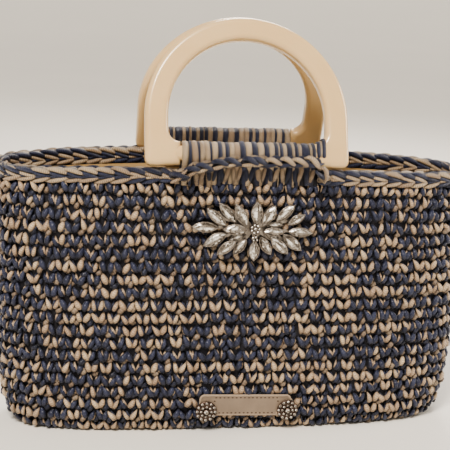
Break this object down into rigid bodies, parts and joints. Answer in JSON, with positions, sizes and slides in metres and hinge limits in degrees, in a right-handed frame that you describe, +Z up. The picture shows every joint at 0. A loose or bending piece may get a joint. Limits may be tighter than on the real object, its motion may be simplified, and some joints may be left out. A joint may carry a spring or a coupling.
{
  "type": "crochet handbag",
  "caption": "Wide crocheted handbag with a flat base, open mouth, lining and D-shaped hinged resin handles, with a crystal brooch and a small tag on the front.",
  "frame": {"origin": "middle of the flat base's underside, which the bag stands on", "axes": "+X along the bag's width, +Y from the front to the back, +Z up"},
  "size_m": [0.3614, 0.1103, 0.3106],
  "materials": {
    "crochet_yarn": "two-colour navy and beige ribbon yarn, single crochet",
    "wrap_yarn": "navy and beige ribbon yarn wrapped side by side",
    "lining_cloth": "mustard woven lining",
    "handle_resin": "polished ivory resin",
    "brooch_metal": "bright silver-grey metal",
    "brooch_crystal": "clear cut crystal",
    "tag_leather": "smooth beige leather with a row of small marks along each long edge",
    "rosette_metal": "dark metal cups set with small clear stones"
  },
  "bodies": {
    "bag": {"crochet_body": "crochet_yarn", "mouth_edging": "crochet_yarn", "lining": "lining_cloth", "handle_wrap_front": "wrap_yarn", "handle_wrap_back": "wrap_yarn", "brooch_setting": "brooch_metal", "tag": "tag_leather", "tag_rosette_left": "rosette_metal", "tag_rosette_right": "rosette_metal", "brooch_stone_01": "brooch_crystal", "brooch_stone_02": "brooch_crystal", "brooch_stone_03": "brooch_crystal", "brooch_stone_04": "brooch_crystal", "brooch_stone_05": "brooch_crystal", "brooch_stone_06": "brooch_crystal", "brooch_stone_07": "brooch_crystal", "brooch_stone_08": "brooch_crystal", "brooch_stone_09": "brooch_crystal", "brooch_stone_10": "brooch_crystal", "brooch_stone_11": "brooch_crystal", "brooch_stone_12": "brooch_crystal", "brooch_stone_13": "brooch_crystal", "brooch_stone_14": "brooch_crystal", "brooch_stone_15": "brooch_crystal", "brooch_stone_16": "brooch_crystal", "brooch_stone_17": "brooch_crystal", "brooch_stone_18": "brooch_crystal", "brooch_stone_19": "brooch_crystal", "brooch_stone_20": "brooch_crystal", "brooch_stone_21": "brooch_crystal"},
    "front_handle": {"handle_front": "handle_resin"},
    "back_handle": {"handle_back": "handle_resin"}
  },
  "joints": [
    {"name": "front_handle_hinge", "type": "hinge", "parent": "bag", "child": "front_handle", "pos_m": [0, -0.041, 0.21463], "axis": [1, 0, 0], "range_deg": [0, 115]},
    {"name": "back_handle_hinge", "type": "hinge", "parent": "bag", "child": "back_handle", "pos_m": [0, 0.041, 0.21463], "axis": [-1, 0, 0], "range_deg": [0, 115]}
  ]
}
